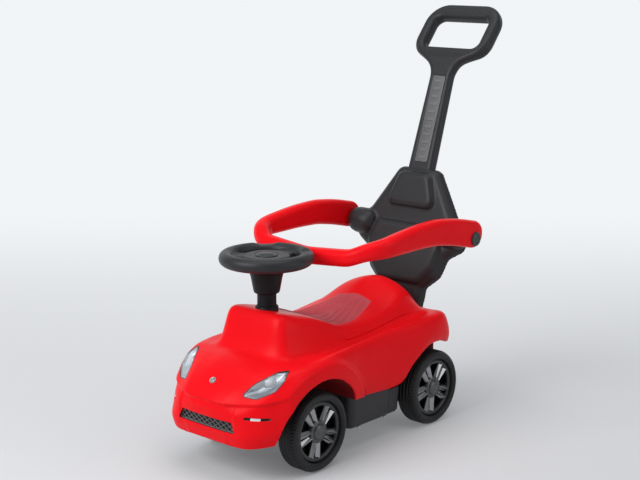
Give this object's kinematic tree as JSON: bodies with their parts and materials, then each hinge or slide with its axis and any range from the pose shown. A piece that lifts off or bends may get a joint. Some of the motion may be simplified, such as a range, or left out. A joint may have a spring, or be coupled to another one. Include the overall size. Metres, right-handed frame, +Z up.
{
  "type": "push car",
  "caption": "Child's ride-on push car with steered front wheels, moulded saddle, backrest, lift-up guard rail and a tall rear push handle with a grip loop.",
  "frame": {"origin": "on the ground, in the middle of the footprint box of the whole car", "axes": "+Z up, the car's nose towards -Y, its left side towards +X"},
  "size_m": [0.3706, 0.8617, 0.8706],
  "materials": {
    "red_shell": "glossy moulded",
    "charcoal": "satin moulded",
    "black": "matt moulded",
    "wheel_black": "matt moulded",
    "trim_grey": "silver grey",
    "lens": "smoked clear",
    "steel": "plated",
    "rubber": "soft"
  },
  "bodies": {
    "chassis": {"backrest_cover": "charcoal", "backrest_front": "charcoal", "backrest_screws": "steel", "body_shell": "red_shell", "bonnet_badge": "trim_grey", "bridge_screws": "steel", "column_bush": "charcoal", "floor_pan": "black", "floor_screws": "steel", "fog_light_left": "lens", "fog_light_right": "lens", "grille_insert": "black", "guard_pivot_pins": "charcoal", "handle_inset": "trim_grey", "headlight_left": "lens", "headlight_right": "lens", "kingpins": "steel", "lock_spring": "steel", "push_handle": "charcoal", "rear_axle": "steel", "rear_axle_clips": "steel", "seat_saddle": "red_shell", "steering_bridge": "black"},
    "steering": {"steering_wheel": "charcoal", "column_sleeve": "charcoal", "wheel_cross_bolt": "steel", "horn_bulb": "rubber", "steering_shaft": "steel", "steering_crank": "black"},
    "horn": {"horn_button": "charcoal"},
    "left_knuckle": {"knuckle_left": "black", "stub_axle_left": "steel", "stub_clip_left": "steel"},
    "right_knuckle": {"knuckle_right": "black", "stub_axle_right": "steel", "stub_clip_right": "steel"},
    "tie": {"tie_rod": "black"},
    "guard": {"guard_rail": "red_shell"},
    "handle_lock": {"handle_lock_button": "charcoal"},
    "front_left_roller": {"front_left_wheel": "wheel_black", "front_left_wheel_trim": "trim_grey", "front_left_hub_cap": "trim_grey"},
    "front_right_roller": {"front_right_wheel": "wheel_black", "front_right_wheel_trim": "trim_grey", "front_right_hub_cap": "trim_grey"},
    "rear_left_roller": {"rear_left_wheel": "wheel_black", "rear_left_wheel_trim": "trim_grey", "rear_left_hub_cap": "trim_grey"},
    "rear_right_roller": {"rear_right_wheel": "wheel_black", "rear_right_wheel_trim": "trim_grey", "rear_right_hub_cap": "trim_grey"}
  },
  "joints": [
    {"name": "steering_turn", "type": "hinge", "parent": "chassis", "child": "steering", "pos_m": [0, -0.24618, 0.3], "axis": [0, 0, 1], "range_deg": [-22, 22]},
    {"name": "left_knuckle_steer", "type": "hinge", "parent": "chassis", "child": "left_knuckle", "pos_m": [0.078, -0.24618, 0.08], "axis": [0, 0, 1], "range_deg": [-22, 22]},
    {"name": "right_knuckle_steer", "type": "hinge", "parent": "chassis", "child": "right_knuckle", "pos_m": [-0.078, -0.24618, 0.08], "axis": [0, 0, 1], "range_deg": [-22, 22]},
    {"name": "tie_rod_swing", "type": "hinge", "parent": "left_knuckle", "child": "tie", "pos_m": [0.078, -0.20618, 0.066], "axis": [0, 0, 1], "range_deg": [-22, 22]},
    {"name": "front_left_roll", "type": "hinge", "parent": "left_knuckle", "child": "front_left_roller", "pos_m": [0.123, -0.24618, 0.08], "axis": [1, 0, 0], "continuous": true},
    {"name": "front_right_roll", "type": "hinge", "parent": "right_knuckle", "child": "front_right_roller", "pos_m": [-0.123, -0.24618, 0.08], "axis": [1, 0, 0], "continuous": true},
    {"name": "rear_left_roll", "type": "hinge", "parent": "chassis", "child": "rear_left_roller", "pos_m": [0.123, 0.12082, 0.08], "axis": [1, 0, 0], "continuous": true},
    {"name": "rear_right_roll", "type": "hinge", "parent": "chassis", "child": "rear_right_roller", "pos_m": [-0.123, 0.12082, 0.08], "axis": [1, 0, 0], "continuous": true},
    {"name": "guard_lift", "type": "hinge", "parent": "chassis", "child": "guard", "pos_m": [0, 0.20182, 0.397], "axis": [-1, 0, 0], "range_deg": [0, 90]},
    {"name": "horn_press", "type": "slide", "parent": "steering", "child": "horn", "axis": [0, 0, -1], "range_m": [0, 0.003], "stiffness_N_per_m": 600, "springref_m": -0.002, "deforming": ["horn_bulb"]},
    {"name": "handle_lock_press", "type": "slide", "parent": "chassis", "child": "handle_lock", "axis": [0, -0.9444, 0.3289], "range_m": [0, 0.005], "stiffness_N_per_m": 800, "springref_m": -0.002, "deforming": ["lock_spring"]}
  ],
  "couplings": [
    {"joint": "left_knuckle_steer", "follows": "steering_turn", "ratio": 1},
    {"joint": "right_knuckle_steer", "follows": "steering_turn", "ratio": 1},
    {"joint": "tie_rod_swing", "follows": "steering_turn", "ratio": -1}
  ]
}
